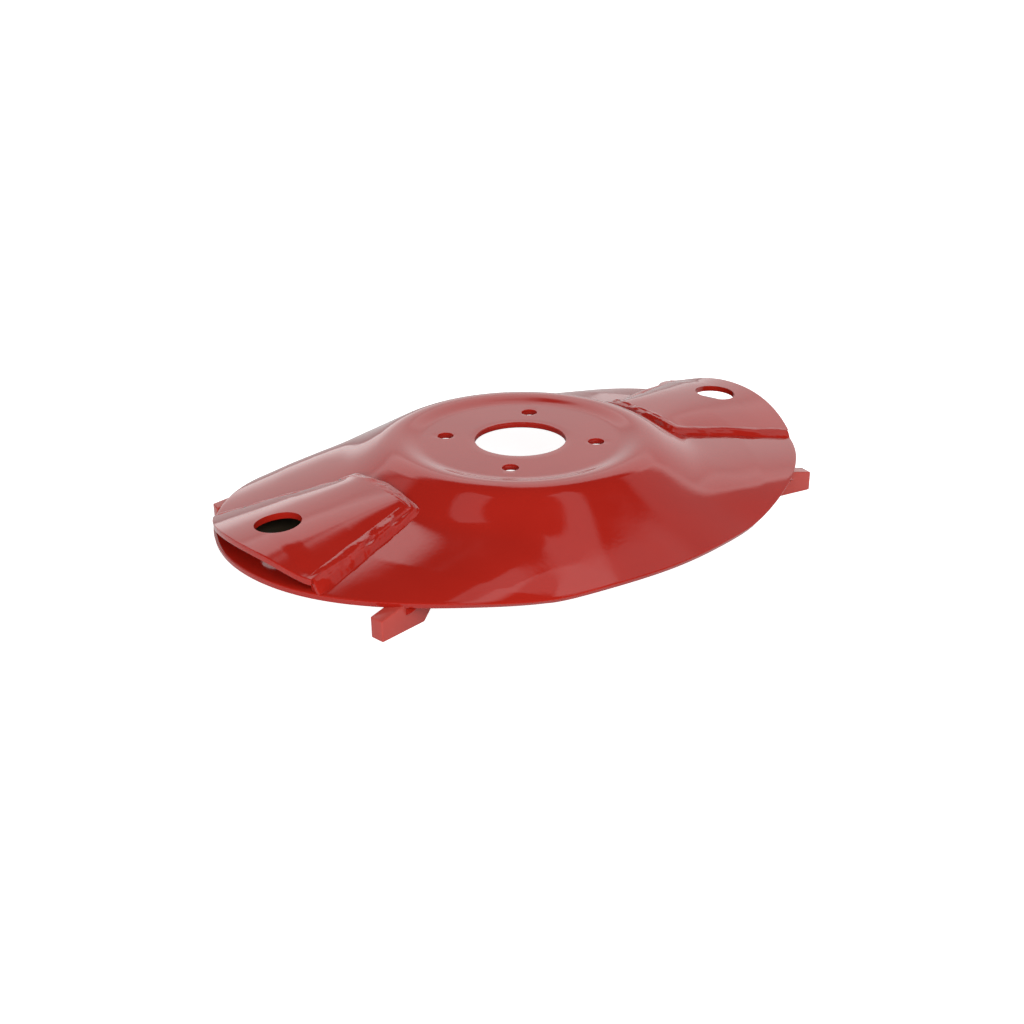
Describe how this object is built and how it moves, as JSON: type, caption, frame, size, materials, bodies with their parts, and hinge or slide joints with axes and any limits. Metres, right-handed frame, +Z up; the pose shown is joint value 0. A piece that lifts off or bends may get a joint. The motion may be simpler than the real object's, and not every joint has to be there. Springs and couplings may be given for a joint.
{
  "type": "mower disc",
  "caption": "Pressed oval steel cutting disc with a bolted hub seat, welded blade covers open at both ends and feed lugs under the rim.",
  "frame": {"origin": "centre of the hub bore at the seat's upper face", "axes": "+Z up along the spindle axis, +X along the disc's long axis through the blade bolts"},
  "size_m": [0.422, 0.3016, 0.0494],
  "materials": {
    "red_paint": "glossy red enamel over welded steel"
  },
  "bodies": {
    "root": {"disc_plate": "red_paint", "blade_cover_right": "red_paint", "blade_cover_left": "red_paint", "cover_weld_right": "red_paint", "cover_weld_left": "red_paint", "feed_lug_front_left": "red_paint", "lug_weld_front_left": "red_paint", "feed_lug_front_right": "red_paint", "lug_weld_front_right": "red_paint", "feed_lug_back_left": "red_paint", "lug_weld_back_left": "red_paint", "feed_lug_back_right": "red_paint", "lug_weld_back_right": "red_paint"}
  },
  "joints": []
}
